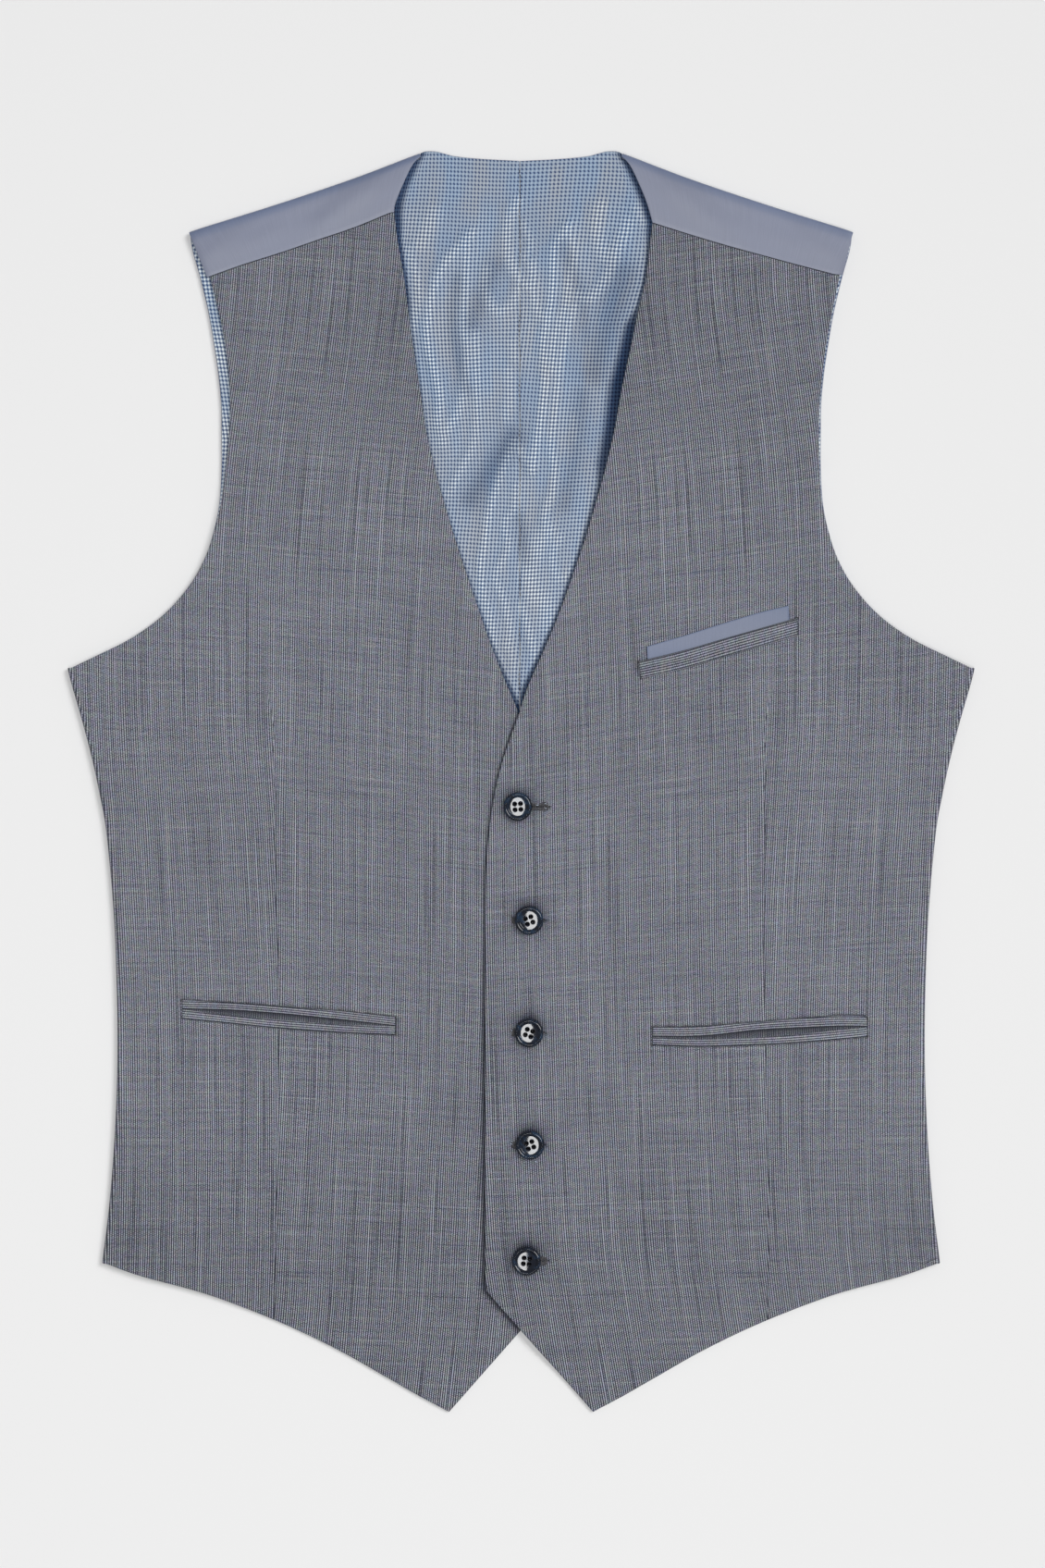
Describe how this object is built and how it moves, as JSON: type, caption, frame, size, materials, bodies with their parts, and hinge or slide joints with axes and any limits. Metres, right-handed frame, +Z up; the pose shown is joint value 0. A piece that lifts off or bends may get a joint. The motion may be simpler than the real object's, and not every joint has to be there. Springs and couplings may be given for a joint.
{
  "type": "suit waistcoat laid flat",
  "caption": "Sleeveless V-necked suit waistcoat, buttoned and laid flat on its back, with jetted pockets, a breast welt and a satin back over a dobby lining.",
  "frame": {"origin": "under the middle of the garment as it lies, on the surface that it rests on", "axes": "+X towards the wearer's left side, +Y towards the neck, +Z up from the surface, through the fronts"},
  "size_m": [0.491, 0.682, 0.0106],
  "materials": {
    "worsted": "grey-blue worsted with fine lengthwise hairlines, dry and matt",
    "satin": "blue-grey lining satin, smooth with a soft sheen",
    "lining": "light blue dobby lining with navy pin dots, lustrous",
    "button": "polished dark navy with a raised rim and four holes",
    "thread": "dark polyester sewing thread, matt"
  },
  "bodies": {
    "root": {"front_left": "worsted", "front_right": "worsted", "back_left": "satin", "back_right": "satin", "lining_left": "lining", "lining_right": "lining", "pocket_left_upper_jetting": "worsted", "pocket_left_lower_jetting": "worsted", "pocket_left_facing": "worsted", "pocket_right_upper_jetting": "worsted", "pocket_right_lower_jetting": "worsted", "pocket_right_facing": "worsted", "breast_pocket_welt": "worsted", "breast_pocket_satin": "satin", "button_1": "button", "button_2": "button", "button_3": "button", "button_4": "button", "button_5": "button", "button_shank_1": "thread", "button_shank_2": "thread", "button_shank_3": "thread", "button_shank_4": "thread", "button_shank_5": "thread"}
  },
  "joints": []
}
